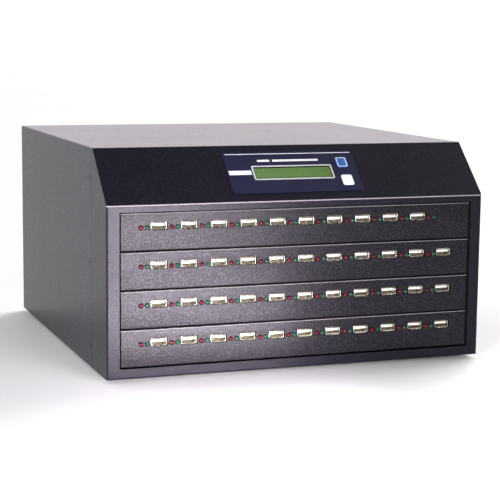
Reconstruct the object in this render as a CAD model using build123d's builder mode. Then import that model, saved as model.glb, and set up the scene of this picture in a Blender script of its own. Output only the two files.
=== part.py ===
"""A desktop memory-stick duplicator: a folded steel case with a sloping display and four port panels.

Frame: +Z up, the front looks along -Y, and the origin is on the desk under the middle of the case.
All sizes are in millimetres.
"""

import math
import os

from build123d import *

os.makedirs("parts", exist_ok=True)

# Case: sheet steel, with an upright front, a sloping display face and a flat top
case_depth = 332.0
slope_run = 44.5  # how far the slope goes back
slope_rise = 42.4  # and how far it goes up
bezel_depth = 47.0  # the front housing, from its face to the seam in the side wall
seam_gap = 0.4
sheet = 1.2
bend_radius = 1.5
foot_height = 3.0  # air under the case

# Port panels: four shallow folded pans, one above the other, in one opening of the front
panel_count = 4
panel_height = 30.6
panel_gap = 0.8
panel_flange = 10.0
panel_sheet = 1.0
panel_bend = 1.1
panel_recess = 1.0  # behind the face of the case
opening_bottom = 8.2  # lower edge of the opening, above the underside of the case
opening_top = 5.4  # from the opening up to the foot of the slope
opening_side = 11.0  # from a panel's end to the side of the case

# Ports and their lamps, in inch steps
port_columns = 11
port_pitch = 25.4
port_margin_left = 32.4  # from the left end of a panel to its first port, with the lamps between
port_margin_right = 23.6
port_drop = 10.7  # from a panel's top edge to the middle of its ports
port_setback = 0.8  # the mouths of the sockets are this far behind the face of the panel
socket_width = 13.1
socket_height = 5.9
socket_wall = 0.35
socket_length = 13.7
tongue_width = 11.1
tongue_thickness = 1.84
tongue_raise = 0.75  # above the middle of the socket
tongue_setback = 1.3
core_depth = 3.4
cutout_clearance = 0.6
lamp_radius = 1.65
lamp_sides = 6
lamp_proud = 1.2
lamp_clearance = 0.15
lamp_pitch = 5.08
lamp_reach = 9.8  # from a port to the green lamp on its left
lamp_drop = 1.2  # below the middle of the ports

# Port circuit boards and the posts that hold them
board_thickness = 1.6
port_board_width = 300.0
port_board_height = 25.0
post_radius = 2.2
post_sides = 6
port_post_columns = (-1, 4, 9)  # each post stands right of this column, between two sockets
port_post_drop = 21.0  # below the panel's top edge

# Rails: upright channels that the ends of the panels are screwed to
rail_depth = 22.0
rail_rise = 2.0  # above the opening
rail_clearance = 1.0  # to the side flanges of the tray

# Display and keys on the slope, measured up the slope from its lower edge
label_height = 44.6
label_thickness = 0.4
label_corner = 3.0
label_centre = 31.2
display_centre = 30.5
display_width = 69.2
display_height = 12.9
window_ledge = 0.8
window_fit = 0.1
bezel_frame_side = 3.4  # from the display to the outside of its metal frame
bezel_frame_edge = 6.55
bezel_frame_depth = 5.0
bezel_frame_wall = 0.6
glass_fit = 0.15
display_board_side = 2.0  # from the metal frame to the end of the board
display_board_edge = 5.0
display_post_inset = 2.5
key_reach = 11.7  # from the display to the middle of the keys, and on to the end of the label
key_centres = {"set_button": 40.0, "scroll_button": 20.5}
key_width = 9.6
key_height = 10.9
key_corner = 1.4
key_proud = 0.7  # above the label
key_travel = 0.6
key_clearance = 0.2
key_flange = 1.0
key_flange_thickness = 1.0
key_stem_radius = 1.5
key_stem_length = 3.2
key_switch_size = 6.0
key_switch_height = 3.5
key_board_width = 13.0
key_board_height = 43.0
key_board_gap = 0.8
key_post_reach = 19.2

# Main board, on posts on the floor of the tray
main_board_width = 150.0
main_board_depth = 110.0
main_board_gap = 19.0  # from the left side of the case
main_board_y = -42.0
main_board_post = 8.0
main_post_inset = 6.0
chip_columns = 4
chip_rows = 2
chip_size = 14.0
chip_height = 2.0
chip_inset = 24.0  # from the ends of the board to the middle of the outer chips
chip_pitch = 24.0  # between the rows

# Tray: floor, side flanges and back wall in one folded sheet
bezel_lip = 20.0  # under the front edge of the tray
tray_flange = 28.0
tray_bend = 1.0
cover_lip = 10.0  # the cover's edge, folded over the back wall
tongue_strip = 14.0  # strips in the front housing that the cover is screwed to
tongue_overlap = 10.0
tongue_clearance = 2.0  # above the side flanges of the tray

# Fans and their air slots
round_sides = 20  # fan rings and hubs are drawn with this many flats
fan_size = 80.0
fan_depth = 25.0
fan_rim = 2.0  # from the side of the frame to its bore
fan_hole_inset = 4.25
fan_hole_radius = 2.2
fan_strut_width = 3.4
fan_strut_depth = 3.0
fan_hub = 17.0
stator_radius = 12.0
stator_length = 13.0
rotor_hub = 16.0
rotor_hub_wall = 1.4
rotor_tip_gap = 1.2
rotor_gap = 0.8
blade_count = 7
blade_thickness = 1.4
blade_pitch = 38.0
blade_depth = 17.0
blade_trim = 2.0  # cut off each blade's end to make it round
shaft_radius = 1.5
shaft_inset = 2.0
shaft_clearance = 0.05
fan_inset = 74.0  # from the left side of the case
fan_height = 92.0  # above the underside of the case
slot_count = 9
slot_height = 3.8
slot_edge = 1.0  # from the ends of the slots to the fan's bore

# Power supply: a standard desktop unit, 150 wide, 86 high and 140 deep
supply_spare = 40.0  # its width beside the fan and the inlet
supply_margin = 3.0  # above and below the fan
supply_depth = 140.0
supply_gap = 9.0  # to the right side of the case
supply_wall = 1.2
supply_window_side = 9.0  # steel left beside the supply's face
supply_window_edge = 3.0
supply_hole_inset = 6.0
supply_fan_inset = 13.0  # from the supply's left end
socket_block_inset = 31.0  # from its right end to the middle of the inlet

# Power inlet
inlet_shift_z = -17.0
inlet_flange_width = 30.0
inlet_flange_height = 22.6
inlet_flange_thickness = 1.6
inlet_body_width = 27.4
inlet_body_height = 19.8
inlet_body_depth = 19.0
inlet_mouth_width = 24.4
inlet_mouth_height = 16.9
inlet_mouth_corner = 4.5
inlet_mouth_depth = 16.5
pin_width = 2.0
pin_height = 4.0
pin_length = 11.8
pin_spacing = 14.0
pin_rise = 4.0
pocket_clearance = 0.4

# Power switch
switch_shift_z = 19.0
switch_frame_width = 15.0
switch_frame_height = 21.0
switch_frame_thickness = 1.6
switch_body_width = 13.4
switch_body_height = 19.2
switch_body_depth = 14.0
rocker_width = 10.4
rocker_radius = 8.6
rocker_axis_depth = 2.0
rocker_clearance = 0.35
rocker_tilt = 10.0
rocker_keel = 3.0  # of the drum below its pivots
rocker_well = 8.0
pivot_radius = 1.0
pivot_length = 0.8
pivot_sides = 8
pivot_clearance = 0.05

# Fasteners and feet
screw_sides = 6  # small screws and their holes are drawn with flat sides
screw_radius = 1.5
screw_clearance = 0.1
screw_head_radius = 2.8
screw_head_height = 1.8
screw_grip = 2.0  # thread beyond the sheets that are joined
flush_head_radius = 2.7
side_screw_inset = 6.8  # behind the seam
side_screw_low = 18.0  # above the underside of the case
side_screw_high = 24.4  # below the top
back_screw_low = 60.0
back_screw_high = 42.4
foot_radius = 10.0
foot_sides = 12
foot_inset_x = 30.0
foot_inset_front = 34.0
foot_inset_back = 30.0
foot_draft = 1.5

# Cables inside
ribbon_gap = 5.0  # between neighbouring cables, seen from the front
ribbon_thickness = 1.2
ribbon_lead = 12.0  # straight out of the display board
ribbon_inset = 15.0  # from the left end of the main board to the first cable
ribbon_spare = 27.0  # from its right end to the last cable
ribbon_edge = 8.0  # from its front edge
ribbon_step = 9.0
harness_width = 12.0
harness_thickness = 6.0
harness_inset = 12.0  # from the right end of the main board
harness_exit = 20.0  # from the left end of the supply
harness_reach = 26.0  # out of the supply before it turns
header_height = 7.0
header_thickness = 6.0
header_overhang = 2.0  # past each edge of its cable

# Places worked out from the sizes above
panel_width = port_margin_left + (port_columns - 1) * port_pitch + port_margin_right
case_width = panel_width + 2 * opening_side
opening_width = panel_width + 2 * panel_gap
opening_height = panel_count * (panel_height + panel_gap) + panel_gap
sill_height = opening_bottom + opening_height + opening_top  # upright part of the front
case_height = sill_height + slope_rise
front_y = -case_depth / 2
back_y = case_depth / 2
floor_z = foot_height
top_z = floor_z + case_height
sill_z = floor_z + sill_height
seam_y = front_y + bezel_depth
inner_x = case_width / 2 - sheet
tray_floor_z = floor_z + 2 * sheet
wall_y = back_y - sheet  # outer face of the back wall
wall_inner_y = wall_y - sheet
opening_z = floor_z + opening_bottom + opening_height / 2
panel_face_y = front_y + panel_recess
socket_mouth_y = panel_face_y + port_setback
port_board_y = socket_mouth_y + socket_length
rail_front_y = front_y + bend_radius
rail_back_y = rail_front_y + rail_depth
slope = Plane(
    origin=(0, front_y, sill_z), x_dir=(1, 0, 0), z_dir=(0, -slope_rise, slope_run)
)
bezel_frame_width = display_width + 2 * bezel_frame_side
bezel_frame_height = display_height + 2 * bezel_frame_edge
display_board_width = bezel_frame_width + 2 * display_board_side
display_board_height = bezel_frame_height + 2 * display_board_edge
display_board_depth = sheet + bezel_frame_depth
key_x = display_width / 2 + key_reach
label_width = 2 * (key_x + key_reach)
key_flange_depth = sheet + key_clearance
key_switch_depth = key_flange_depth + key_flange_thickness + key_travel + key_clearance
key_board_depth = key_switch_depth + key_switch_height
main_board_x = main_board_gap + main_board_width / 2 - case_width / 2
ribbon_pitch = (main_board_width - ribbon_inset - ribbon_spare) / panel_count
ribbon_width = ribbon_pitch - ribbon_gap
fan_x = fan_inset - case_width / 2
fan_z = floor_z + fan_height
fan_bore = fan_size / 2 - fan_rim
fan_hole_spacing = fan_size - 2 * fan_hole_inset
rotor_tip = fan_bore - rotor_tip_gap
slot_pitch = 2 * fan_bore / (slot_count + 1)
supply_width = supply_spare + fan_size + inlet_flange_width
supply_height = fan_size + 2 * supply_margin
supply_x = case_width / 2 - supply_gap - supply_width / 2
supply_hole_x = supply_width - 2 * supply_hole_inset
supply_hole_z = supply_height - 2 * supply_hole_inset
supply_z = tray_floor_z + supply_height / 2
supply_front_y = wall_inner_y - supply_depth
supply_fan_x = supply_x - supply_width / 2 + supply_fan_inset + fan_size / 2
supply_fan_back_y = wall_inner_y - supply_wall
socket_block_x = supply_x + supply_width / 2 - socket_block_inset
inlet_z = supply_z + inlet_shift_z
switch_z = supply_z + switch_shift_z
side_screw_z = (
    floor_z + side_screw_low,
    floor_z + (side_screw_low + case_height - side_screw_high) / 2,
    top_z - side_screw_high,
)
side_screw_places = [(seam_y + side_screw_inset, z) for z in side_screw_z]
back_screw_places = [
    (side * (inner_x - cover_lip / 2), z)
    for side in (-1, 1)
    for z in (floor_z + back_screw_low, top_z - back_screw_high)
]


def panel_top(row):
    """Height of a panel's top edge. Row 0 is the highest."""
    top_edge = floor_z + opening_bottom + opening_height - panel_gap
    return top_edge - row * (panel_height + panel_gap)


def port_x(column):
    """Middle of a column of ports. Column 0 is on the left, seen from the front."""
    return port_margin_left - panel_width / 2 + column * port_pitch


def facing(y):
    """The plane that looks out of the front at this y: its x is +X and its y is +Z."""
    return Plane.XZ.offset(-y)


def ports_in(row):
    """The top row has no socket in its last column, only the two lamps."""
    return port_columns - 1 if row == 0 else port_columns


def screw_hole(mode=Mode.ADD):
    """The outline of a clearance hole, at the current locations of a sketch."""
    return RegularPolygon(screw_radius + screw_clearance, screw_sides, False, mode=mode)


def key_outline(margin, mode=Mode.ADD):
    """A key's outline with cut corners, made larger all round by a margin."""
    x, y = key_width / 2 + margin, key_height / 2 + margin
    corner = key_corner + margin * (2 - math.sqrt(2))
    points = [(x, y - corner), (x - corner, y), (corner - x, y), (-x, y - corner)]
    points += [(-x, corner - y), (corner - x, -y), (x - corner, -y), (x, corner - y)]
    return Polygon(*points, align=None, mode=mode)


def save(piece, node):
    """Writes one finished piece as a node."""
    piece.label = node
    export_step(piece, f"parts/{node}.step")


# Front housing: one sheet folded into cheeks, frame, slope and a strip of the top
with BuildPart() as front_bezel:
    with BuildSketch(Plane.YZ.offset(-case_width / 2)):
        with BuildLine():
            Polyline(
                (front_y, floor_z),
                (front_y, sill_z),
                (front_y + slope_run, top_z),
                (seam_y, top_z),
                (seam_y, floor_z),
                close=True,
            )
        make_face()
    extrude(amount=case_width)
    folds = front_bezel.edges().filter_by(Axis.X).group_by(Axis.Y)[:-1]
    uprights = front_bezel.edges().filter_by(Axis.Z).group_by(Axis.Y)[0]
    fillet([edge for group in folds for edge in group] + list(uprights), bend_radius)
    offset(amount=-sheet, openings=front_bezel.faces().sort_by(Axis.Y)[-1])
    with BuildSketch(facing(front_y)):
        with Locations((0, opening_z)):
            Rectangle(opening_width, opening_height)
    extrude(amount=-2 * sheet, mode=Mode.SUBTRACT)
    with BuildSketch(slope):
        with Locations((0, display_centre)):
            Rectangle(display_width, display_height)
        for centre in key_centres.values():
            with Locations((key_x, centre)):
                key_outline(key_clearance)
    extrude(amount=-2 * sheet, mode=Mode.SUBTRACT)
    # The underside stops at a short lip, which the tray stands on
    with BuildSketch(Plane.XY.offset(floor_z)):
        with Locations((0, (front_y + bezel_lip + seam_y) / 2)):
            Rectangle(2 * inner_x - 2 * bend_radius, bezel_depth - bezel_lip)
    extrude(amount=sheet, mode=Mode.SUBTRACT)
    # Strips welded inside the cheeks, which reach behind the seam and take the cover's screws
    for side in (-1, 1):
        strip_length = tongue_strip + tongue_overlap
        strip_bottom = floor_z + tray_flange + 2 * sheet + tongue_clearance
        strip_top = sill_z + (bezel_depth - tongue_overlap) * slope_rise / slope_run - 3 * sheet
        with BuildSketch(Plane.YZ.offset(side * inner_x)):
            with Locations(
                (
                    seam_y - tongue_overlap + strip_length / 2,
                    (strip_bottom + strip_top) / 2,
                )
            ):
                Rectangle(strip_length, strip_top - strip_bottom)
            with Locations(*side_screw_places[1:]):
                screw_hole(mode=Mode.SUBTRACT)
        extrude(amount=-side * sheet)
save(front_bezel.part, "front_bezel")

# Cover: top and both sides in one sheet, with a lip folded in at the back
cover_front_y = seam_y + seam_gap
flush_taper = math.degrees(math.atan2(flush_head_radius - screw_radius, sheet))
with BuildPart() as top_cover:
    with BuildSketch(facing(cover_front_y)) as cover_outline:
        with Locations((0, (floor_z + top_z) / 2)):
            Rectangle(case_width, case_height)
        fillet(cover_outline.vertices().group_by(Axis.Y)[-1], bend_radius)
    extrude(amount=-(back_y - cover_front_y))
    cover_front = top_cover.faces().sort_by(Axis.Y)[0]
    cover_bottom = top_cover.faces().sort_by(Axis.Z)[0]
    offset(amount=-sheet, openings=[cover_front, cover_bottom])
    lip_opening = case_height - sheet - cover_lip
    with BuildSketch(facing(back_y)):
        with Locations((0, floor_z + lip_opening / 2)):
            Rectangle(2 * (inner_x - cover_lip), lip_opening)
        with Locations(*back_screw_places):
            screw_hole()
    extrude(amount=sheet, mode=Mode.SUBTRACT)
    # Sunk seats for the flush screws, as deep as the sheet
    for side in (-1, 1):
        with BuildSketch(Plane.YZ.offset(side * case_width / 2)):
            with Locations(*side_screw_places):
                RegularPolygon(flush_head_radius + screw_clearance, screw_sides, False)
        extrude(amount=-side * sheet, taper=flush_taper, mode=Mode.SUBTRACT)
save(top_cover.part, "top_cover")


def air_slots(x, z):
    """Slots across a sketch, cut to the chords of a fan's circle."""
    for step in range(slot_count):
        rise = (step - (slot_count - 1) / 2) * slot_pitch
        chord = 2 * math.sqrt((fan_bore - slot_edge) ** 2 - (abs(rise) + slot_height / 2) ** 2)
        with Locations((x, z + rise)):
            Rectangle(chord, slot_height)


# Tray: floor, side flanges and the back wall with its air slots and the window for the supply
tray_front_y = front_y + bend_radius
tray_flange_y = rail_back_y + rail_clearance
tray_top_z = top_z - bend_radius
with BuildPart() as chassis_tray:
    with BuildSketch(Plane.XY.offset(floor_z + sheet)):
        with Locations((0, (tray_front_y + wall_y) / 2)):
            Rectangle(2 * inner_x, wall_y - tray_front_y)
    extrude(amount=sheet)
    for side in (-1, 1):
        with BuildSketch(Plane.YZ.offset(side * inner_x)):
            with Locations(((tray_flange_y + wall_y) / 2, floor_z + sheet + tray_flange / 2)):
                Rectangle(wall_y - tray_flange_y, tray_flange)
        extrude(amount=-side * sheet)
    with BuildSketch(facing(wall_y)):
        with Locations((0, (floor_z + sheet + tray_top_z) / 2)):
            Rectangle(2 * inner_x, tray_top_z - floor_z - sheet)
    extrude(amount=sheet)
    fillet(chassis_tray.edges().filter_by(Axis.Y).group_by(Axis.Z)[0], tray_bend)
    with BuildSketch(facing(wall_y)):
        air_slots(fan_x, fan_z)
        with Locations((fan_x, fan_z)):
            with GridLocations(fan_hole_spacing, fan_hole_spacing, 2, 2):
                screw_hole()
        with Locations((supply_x, supply_z)):
            Rectangle(
                supply_width - 2 * supply_window_side, supply_height - 2 * supply_window_edge
            )
            with GridLocations(supply_hole_x, supply_hole_z, 2, 2):
                screw_hole()
        with Locations(*back_screw_places):
            screw_hole()
    extrude(amount=sheet, mode=Mode.SUBTRACT)
    # Holes in the side flanges for the lowest cover screws
    with BuildSketch(Plane.YZ):
        with Locations(side_screw_places[0]):
            screw_hole()
    extrude(amount=case_width, both=True, mode=Mode.SUBTRACT)
save(chassis_tray.part, "chassis_tray")

# Rails: upright channels, open to the front, between the cheeks and the ends of the panels
rail_top_z = floor_z + opening_bottom + opening_height + rail_rise
rail_inner_x = panel_width / 2
for side, rail_name in ((-1, "left_rail"), (1, "right_rail")):
    with BuildPart() as rail:
        with BuildSketch(Plane.XY.offset(tray_floor_z)):
            rail_middle = side * (rail_inner_x + inner_x) / 2
            with Locations((rail_middle, rail_front_y + rail_depth / 2)):
                Rectangle(inner_x - rail_inner_x, rail_depth)
            with Locations((rail_middle, rail_front_y + (rail_depth - sheet) / 2)):
                Rectangle(inner_x - rail_inner_x - 2 * sheet, rail_depth - sheet, mode=Mode.SUBTRACT)
        extrude(amount=rail_top_z - tray_floor_z)
    save(rail.part, rail_name)

# Port panels: shallow pans with a cut-out for each socket and a hole for each lamp
for row in range(panel_count):
    top = panel_top(row)
    with BuildPart() as port_panel:
        with BuildSketch(facing(panel_face_y)):
            with Locations((0, top - panel_height / 2)):
                Rectangle(panel_width, panel_height)
        extrude(amount=-panel_flange)
        fillet(port_panel.faces().sort_by(Axis.Y)[0].edges(), panel_bend)
        with BuildSketch(facing(panel_face_y + panel_flange)):
            with Locations((0, top - panel_height / 2)):
                Rectangle(panel_width - 2 * panel_sheet, panel_height - 2 * panel_sheet)
        extrude(amount=panel_flange - panel_sheet, mode=Mode.SUBTRACT)
        with BuildSketch(facing(panel_face_y)):
            with Locations(*[(port_x(column), top - port_drop) for column in range(ports_in(row))]):
                Rectangle(socket_width + 2 * cutout_clearance, socket_height + 2 * cutout_clearance)
            lamp_z = top - port_drop - lamp_drop
            with Locations(
                *[
                    (port_x(column) - lamp_reach - step * lamp_pitch, lamp_z)
                    for column in range(port_columns)
                    for step in (0, 1)
                ]
            ):
                RegularPolygon(lamp_radius + lamp_clearance, lamp_sides)
        extrude(amount=-2 * panel_sheet, mode=Mode.SUBTRACT)
    save(port_panel.part, f"port_panel_{row + 1}")

# Sockets: a folded metal shell on each, open to the front
shell_inner_width = socket_width - 2 * socket_wall
shell_inner_height = socket_height - 2 * socket_wall
for row in range(panel_count):
    port_z = panel_top(row) - port_drop
    places = [(port_x(column), port_z) for column in range(ports_in(row))]
    with BuildPart() as usb_shells:
        with BuildSketch(facing(socket_mouth_y)):
            with Locations(*places):
                Rectangle(socket_width, socket_height)
                Rectangle(shell_inner_width, shell_inner_height, mode=Mode.SUBTRACT)
        extrude(amount=-socket_length)
    save(usb_shells.part, f"usb_shells_row_{row + 1}")

    # Cores: the plastic block at the back of each shell, with the contact tongue, L-shaped from the side
    with BuildPart() as usb_cores:
        tongue_top = port_z + tongue_raise + tongue_thickness / 2
        core_bottom = port_z - shell_inner_height / 2
        with BuildSketch(Plane.YZ) as core_profile:
            with BuildLine():
                Polyline(
                    (port_board_y, core_bottom),
                    (port_board_y, tongue_top),
                    (socket_mouth_y + tongue_setback, tongue_top),
                    (socket_mouth_y + tongue_setback, tongue_top - tongue_thickness),
                    (port_board_y - core_depth, tongue_top - tongue_thickness),
                    (port_board_y - core_depth, core_bottom),
                    close=True,
                )
            make_face()
        for column in range(ports_in(row)):
            extrude(
                core_profile.sketch.moved(Location((port_x(column), 0, 0))),
                amount=tongue_width / 2,
                both=True,
            )
    save(usb_cores.part, f"usb_cores_row_{row + 1}")

    # Port board: upright behind the panel, with the sockets soldered to it
    with BuildPart() as port_board:
        with BuildSketch(facing(port_board_y)):
            with Locations((0, panel_top(row) - panel_height / 2)):
                Rectangle(port_board_width, port_board_height)
        extrude(amount=-board_thickness)
    save(port_board.part, f"port_board_{row + 1}")

# Lamps: red and green, in pairs left of each column, each on a spacer that stands on the board
lamp_front_y = panel_face_y - lamp_proud
for step, lamp_name in ((0, "green_lamps"), (1, "red_lamps")):
    with BuildPart() as lamps:
        with BuildSketch(facing(port_board_y)):
            with Locations(
                *[
                    (
                        port_x(column) - lamp_reach - step * lamp_pitch,
                        panel_top(row) - port_drop - lamp_drop,
                    )
                    for row in range(panel_count)
                    for column in range(port_columns)
                ]
            ):
                RegularPolygon(lamp_radius, lamp_sides)
        extrude(amount=port_board_y - lamp_front_y)
    save(lamps.part, lamp_name)

# Posts between each panel and its board
with BuildPart() as port_board_posts:
    with BuildSketch(facing(port_board_y)):
        with Locations(
            *[
                (port_x(column) + port_pitch / 2, panel_top(row) - port_post_drop)
                for row in range(panel_count)
                for column in port_post_columns
            ]
        ):
            RegularPolygon(post_radius, post_sides)
    extrude(amount=port_board_y - panel_face_y - panel_sheet)
save(port_board_posts.part, "port_board_posts")

# Label: a thin overlay on the slope, open over the display and the keys
with BuildPart() as control_label:
    with BuildSketch(slope):
        with Locations((0, label_centre)):
            RectangleRounded(label_width, label_height, label_corner)
        with Locations((0, display_centre)):
            Rectangle(
                display_width + 2 * window_ledge + 2 * window_fit,
                display_height + 2 * window_ledge + 2 * window_fit,
                mode=Mode.SUBTRACT,
            )
        for centre in key_centres.values():
            with Locations((key_x, centre)):
                key_outline(key_clearance, mode=Mode.SUBTRACT)
    extrude(amount=label_thickness)
save(control_label.part, "control_label")

# Window: a clear pane let into the label, on the rim of the hole in the slope
with BuildPart() as display_window:
    with BuildSketch(slope):
        with Locations((0, display_centre)):
            Rectangle(display_width + 2 * window_ledge, display_height + 2 * window_ledge)
    extrude(amount=label_thickness)
save(display_window.part, "display_window")

# Display: a metal frame round the glass, on its own board behind the slope
with BuildPart() as display_frame:
    with BuildSketch(slope.offset(-sheet)):
        with Locations((0, display_centre)):
            Rectangle(bezel_frame_width, bezel_frame_height)
    extrude(amount=-bezel_frame_depth)
    with BuildSketch(slope.offset(-display_board_depth)):
        with Locations((0, display_centre)):
            Rectangle(
                bezel_frame_width - 2 * bezel_frame_wall, bezel_frame_height - 2 * bezel_frame_wall
            )
    extrude(amount=bezel_frame_depth - bezel_frame_wall, mode=Mode.SUBTRACT)
    with BuildSketch(slope.offset(-sheet)):
        with Locations((0, display_centre)):
            Rectangle(display_width + 2 * window_ledge, display_height + 2 * window_ledge)
    extrude(amount=-bezel_frame_wall, mode=Mode.SUBTRACT)
save(display_frame.part, "display_frame")

with BuildPart() as display_glass:
    with BuildSketch(slope.offset(-display_board_depth)):
        with Locations((0, display_centre)):
            Rectangle(
                bezel_frame_width - 2 * bezel_frame_wall - 2 * glass_fit,
                bezel_frame_height - 2 * bezel_frame_wall - 2 * glass_fit,
            )
    extrude(amount=bezel_frame_depth - bezel_frame_wall)
save(display_glass.part, "display_glass")

with BuildPart() as display_board:
    with BuildSketch(slope.offset(-display_board_depth)):
        with Locations((0, display_centre)):
            Rectangle(display_board_width, display_board_height)
    extrude(amount=-board_thickness)
save(display_board.part, "display_board")

# Key board with one switch under each key
with BuildPart() as key_board:
    with BuildSketch(slope.offset(-key_board_depth)):
        with Locations((display_board_width / 2 + key_board_gap + key_board_width / 2, display_centre)):
            Rectangle(key_board_width, key_board_height)
    extrude(amount=-board_thickness)
save(key_board.part, "key_board")

with BuildPart() as key_switches:
    for centre in key_centres.values():
        with BuildSketch(slope.offset(-key_board_depth)):
            with Locations((key_x, centre)):
                Rectangle(key_switch_size, key_switch_size)
        extrude(amount=key_switch_height)
        with BuildSketch(slope.offset(-key_switch_depth)):
            with Locations((key_x, centre)):
                RegularPolygon(key_stem_radius + key_clearance, screw_sides)
        extrude(amount=-(key_switch_height - key_clearance), mode=Mode.SUBTRACT)
save(key_switches.part, "key_switches")

# Posts that carry the display and the key board on the back of the slope
with BuildPart() as display_posts:
    with BuildSketch(slope.offset(-sheet)):
        with Locations((0, display_centre)):
            with GridLocations(
                display_board_width - 2 * display_post_inset,
                display_board_height - 2 * display_post_inset,
                2,
                2,
            ):
                RegularPolygon(post_radius, post_sides)
    extrude(amount=-bezel_frame_depth)
    with BuildSketch(slope.offset(-sheet)):
        with Locations((key_x, display_centre)):
            with GridLocations(0, 2 * key_post_reach, 1, 2):
                RegularPolygon(post_radius, post_sides)
    extrude(amount=-(key_board_depth - sheet))
save(display_posts.part, "display_posts")

# Keys: a cap through the slope, a flange behind it and a stem into the switch
for key_name, centre in key_centres.items():
    with BuildPart() as key:
        with BuildSketch(slope.offset(label_thickness + key_proud)):
            with Locations((key_x, centre)):
                key_outline(0)
        extrude(amount=-(label_thickness + key_proud + key_flange_depth + key_flange_thickness))
        key_rim = key.faces().filter_by(Axis((0, 0, 0), slope.z_dir)).sort_by(Axis.Z)[-1].edges()
        chamfer(key_rim, key_proud / 2)
        with BuildSketch(slope.offset(-key_flange_depth)):
            with Locations((key_x, centre)):
                Rectangle(key_width + 2 * key_flange, key_height + 2 * key_flange)
        extrude(amount=-key_flange_thickness)
        with BuildSketch(slope.offset(-key_flange_depth - key_flange_thickness)):
            with Locations((key_x, centre)):
                RegularPolygon(key_stem_radius, screw_sides)
        extrude(amount=-key_stem_length)
    save(key.part, key_name)

# Main board on posts, with its chips and headers
main_board_z = tray_floor_z + main_board_post
with BuildPart() as main_board:
    with BuildSketch(Plane.XY.offset(main_board_z)):
        with Locations((main_board_x, main_board_y)):
            Rectangle(main_board_width, main_board_depth)
    extrude(amount=board_thickness)
save(main_board.part, "main_board")

with BuildPart() as main_board_posts:
    with BuildSketch(Plane.XY.offset(tray_floor_z)):
        with Locations((main_board_x, main_board_y)):
            with GridLocations(
                main_board_width - 2 * main_post_inset, main_board_depth - 2 * main_post_inset, 2, 2
            ):
                RegularPolygon(post_radius, post_sides)
    extrude(amount=main_board_post)
save(main_board_posts.part, "main_board_posts")

board_top_z = main_board_z + board_thickness
first_ribbon_x = main_board_x - main_board_width / 2 + ribbon_inset
first_ribbon_y = main_board_y - main_board_depth / 2 + ribbon_edge
ribbon_xs = [first_ribbon_x + index * ribbon_pitch for index in range(panel_count)]
ribbon_ys = [first_ribbon_y + index * ribbon_step for index in range(panel_count)]
display_ribbon_x = ribbon_xs[-1] + ribbon_pitch
display_ribbon_y = ribbon_ys[-1] + ribbon_step
with BuildPart() as board_headers:
    with BuildSketch(Plane.XY.offset(board_top_z)):
        with Locations(*zip(ribbon_xs, ribbon_ys), (display_ribbon_x, display_ribbon_y)):
            Rectangle(ribbon_width + 2 * header_overhang, header_thickness)
    extrude(amount=header_height)
save(board_headers.part, "board_headers")

# The chips fill the space between the headers and the back edge of the board
chip_step = (main_board_width - 2 * chip_inset) / (chip_columns - 1)
header_back_y = display_ribbon_y + header_thickness / 2
chip_middle_y = (header_back_y + main_board_y + main_board_depth / 2) / 2
with BuildPart() as board_chips:
    with BuildSketch(Plane.XY.offset(board_top_z)):
        with Locations((main_board_x, chip_middle_y)):
            with GridLocations(chip_step, chip_pitch, chip_columns, chip_rows):
                Rectangle(chip_size, chip_size)
    extrude(amount=chip_height)
save(board_chips.part, "board_chips")

# Ribbon cables: one from each port board and one from the display, down to the main board
header_top_z = board_top_z + header_height
with BuildPart() as ribbon_cables:
    for row, (ribbon_x, ribbon_y) in enumerate(zip(ribbon_xs, ribbon_ys)):
        start_z = panel_top(row) - panel_height / 2
        with BuildLine() as run:
            Polyline(
                (ribbon_x, port_board_y + board_thickness, start_z),
                (ribbon_x, ribbon_y, start_z),
                (ribbon_x, ribbon_y, header_top_z),
            )
        with BuildSketch(Plane(origin=run.line @ 0, x_dir=(1, 0, 0), z_dir=run.line % 0)):
            Rectangle(ribbon_width, ribbon_thickness)
        sweep(path=run.line, transition=Transition.RIGHT)
save(ribbon_cables.part, "ribbon_cables")

display_back = slope.offset(-display_board_depth - board_thickness)
display_lead_start = display_back.from_local_coords((display_ribbon_x, display_centre, 0))
with BuildPart() as display_ribbon:
    with BuildLine() as display_run:
        Polyline(
            display_lead_start,
            display_lead_start - slope.z_dir * ribbon_lead,
            (display_ribbon_x, display_ribbon_y, display_lead_start.Z - 3 * ribbon_lead),
            (display_ribbon_x, display_ribbon_y, header_top_z),
        )
    display_path = display_run.line
    with BuildSketch(Plane(origin=display_path @ 0, x_dir=(1, 0, 0), z_dir=display_path % 0)):
        Rectangle(ribbon_width, ribbon_thickness)
    sweep(path=display_path, transition=Transition.RIGHT)
save(display_ribbon.part, "display_ribbon")

# Power leads: a bundle from the supply to the back edge of the main board
harness_x = main_board_x + main_board_width / 2 - harness_inset
harness_start_x = supply_x - supply_width / 2 + harness_exit
with BuildPart() as power_harness:
    with BuildLine() as harness_run:
        Polyline(
            (harness_start_x, supply_front_y, supply_z),
            (harness_start_x, supply_front_y - harness_reach, supply_z),
            (harness_x, supply_front_y - harness_reach, supply_z),
            (harness_x, supply_front_y - harness_reach, board_top_z),
        )
    harness_path = harness_run.line
    with BuildSketch(Plane(origin=harness_path @ 0, x_dir=(1, 0, 0), z_dir=harness_path % 0)):
        Rectangle(harness_width, harness_thickness)
    sweep(path=harness_path, transition=Transition.RIGHT)
save(power_harness.part, "power_harness")


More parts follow.
